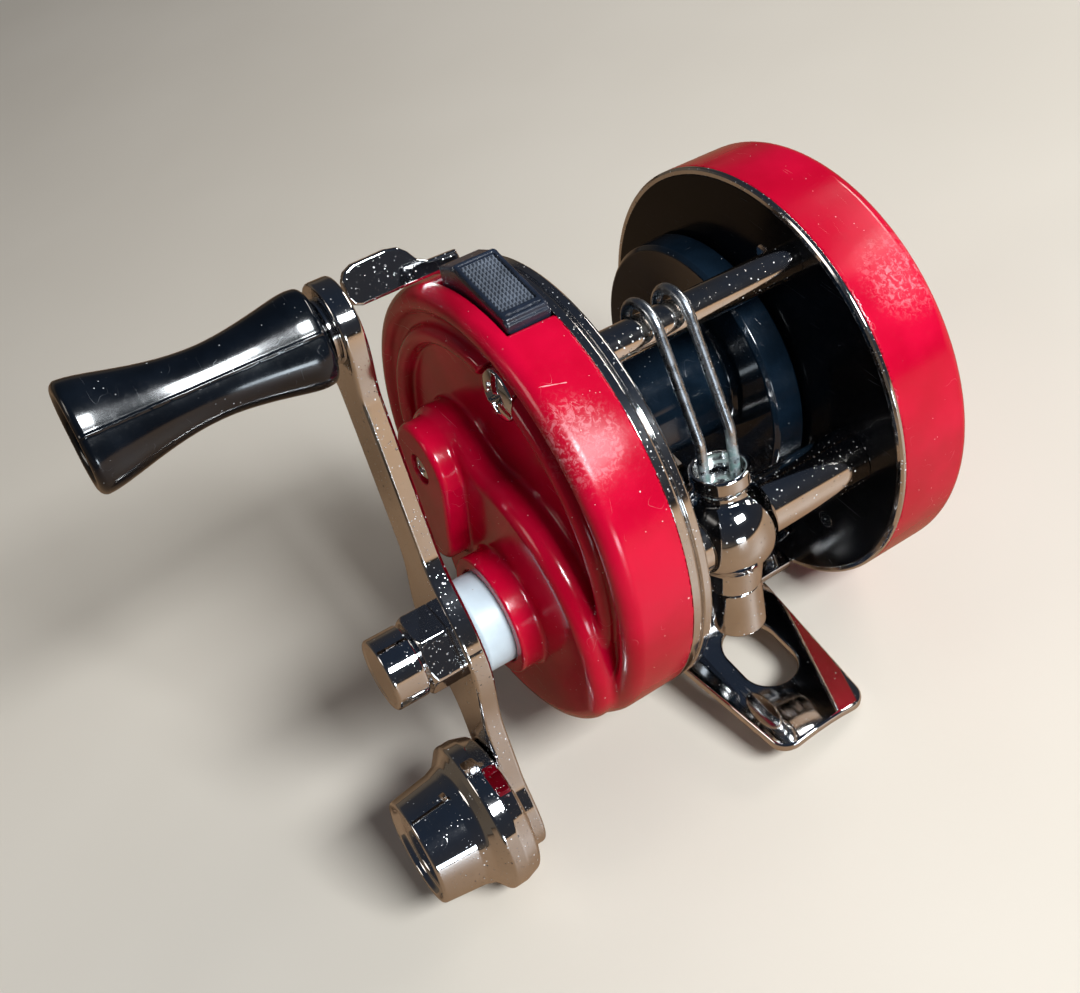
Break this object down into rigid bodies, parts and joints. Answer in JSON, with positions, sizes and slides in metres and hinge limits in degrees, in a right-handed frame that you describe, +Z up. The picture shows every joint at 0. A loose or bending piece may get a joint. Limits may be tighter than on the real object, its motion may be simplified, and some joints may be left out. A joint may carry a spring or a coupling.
{
  "type": "round level-wind fishing reel",
  "caption": "Round level-wind fishing reel with single crank, knob and counterweight, line guide on a tube, thumb button, lever and stamped foot.",
  "frame": {"origin": "on the flat underside of the foot, midway between the two side plates", "axes": "+X along the spool axis towards the crank, +Y towards the line guide at the front, +Z up, away from the rod"},
  "size_m": [0.088, 0.066, 0.0709],
  "materials": {
    "red_cover": "gloss moulded red",
    "black_plate": "gloss black",
    "chrome": "bright plated, lightly pitted",
    "steel": "plain steel",
    "brass": "machined",
    "nylon": "white nylon",
    "knob_black": "gloss black",
    "button_black": "satin blue-black",
    "spool_black": "gloss blue-black"
  },
  "bodies": {
    "frame": {"frame_plate_handle": "black_plate", "frame_plate_palm": "black_plate", "frame_ring_handle": "chrome", "frame_ring_palm": "chrome", "cover_ring": "chrome", "pillar_front": "chrome", "pillar_rear": "chrome", "reel_foot": "chrome", "foot_rivets": "chrome", "handle_cover": "red_cover", "palm_cover": "red_cover", "handle_cover_screws": "chrome", "palm_cover_screws": "chrome", "bearing_screw": "chrome", "end_bearing": "brass", "bushing_handle": "brass", "bushing_palm": "brass", "crank_bushing": "brass", "yoke_posts": "steel", "button_spring": "steel", "lever_stud": "steel", "dog_stud": "steel", "nylon_bushing": "nylon", "tube": "chrome", "worm_bushings": "nylon", "idler_stud": "steel"},
    "crank": {"drive_shaft": "steel", "drive_gear": "brass", "ratchet_wheel": "steel", "crank_arm": "chrome", "crank_nut": "chrome", "counterweight": "chrome", "knob_spindle": "chrome"},
    "knob": {"handle_knob": "knob_black"},
    "spool": {"spool": "spool_black", "spool_shaft": "steel", "cross_pin": "steel"},
    "yoke": {"pinion_yoke": "steel"},
    "pinion": {"pinion": "brass"},
    "worm": {"worm_shaft": "steel", "worm_gear": "nylon"},
    "idler": {"idler_gear": "nylon"},
    "line_guide": {"carriage": "chrome", "guide_wires": "steel", "guide_pawl": "brass", "pawl_cap": "chrome"},
    "button": {"thumb_button": "button_black", "clutch_plate": "steel"},
    "lever": {"lever": "chrome"},
    "dog": {"ratchet_dog": "steel"},
    "tension_cap": {"tension_cap": "chrome"}
  },
  "joints": [
    {"name": "crank_spin", "type": "hinge", "parent": "frame", "child": "crank", "pos_m": [0.0329, 0.00638, 0.01611], "axis": [1, 0, 0], "continuous": true},
    {"name": "knob_spin", "type": "hinge", "parent": "crank", "child": "knob", "pos_m": [0.048, -0.00908, 0.05083], "axis": [1, 0, 0], "continuous": true},
    {"name": "spool_spin", "type": "hinge", "parent": "frame", "child": "spool", "pos_m": [0, -0.0056, 0.0241], "axis": [1, 0, 0], "continuous": true},
    {"name": "yoke_slide", "type": "slide", "parent": "frame", "child": "yoke", "axis": [1, 0, 0], "range_m": [0, 0.001]},
    {"name": "pinion_spin", "type": "hinge", "parent": "yoke", "child": "pinion", "pos_m": [0.018, -0.0056, 0.0241], "axis": [1, 0, 0], "continuous": true},
    {"name": "worm_spin", "type": "hinge", "parent": "frame", "child": "worm", "pos_m": [0, 0.0187, 0.0264], "axis": [1, 0, 0], "continuous": true},
    {"name": "idler_spin", "type": "hinge", "parent": "frame", "child": "idler", "pos_m": [0.0197, 0.01266, 0.02973], "axis": [1, 0, 0], "continuous": true},
    {"name": "line_guide_slide", "type": "slide", "parent": "frame", "child": "line_guide", "axis": [1, 0, 0], "range_m": [-0.0125, 0.0025]},
    {"name": "thumb_press", "type": "slide", "parent": "frame", "child": "button", "axis": [0, 0.1736, -0.9848], "range_m": [0, 0.0016], "stiffness_N_per_m": 400, "springref_m": -0.0005, "deforming": ["button_spring"]},
    {"name": "lever_swing", "type": "hinge", "parent": "frame", "child": "lever", "pos_m": [0.018, -0.0103, 0.04214], "axis": [1, 0, 0], "range_deg": [-7, 7]},
    {"name": "dog_swing", "type": "hinge", "parent": "frame", "child": "dog", "pos_m": [0.0156, -0.0032, 0.0106], "axis": [1, 0, 0], "range_deg": [-12, 4]},
    {"name": "tension_turn", "type": "hinge", "parent": "frame", "child": "tension_cap", "pos_m": [-0.024, -0.0056, 0.0241], "axis": [1, 0, 0], "range_deg": [-90, 90]}
  ],
  "couplings": [
    {"joint": "spool_spin", "follows": "crank_spin", "ratio": -3.8},
    {"joint": "pinion_spin", "follows": "crank_spin", "ratio": -3.8},
    {"joint": "idler_spin", "follows": "crank_spin", "ratio": -3.1667},
    {"joint": "worm_spin", "follows": "crank_spin", "ratio": 3.4545},
    {"joint": "yoke_slide", "follows": "thumb_press", "ratio": 0.625}
  ]
}
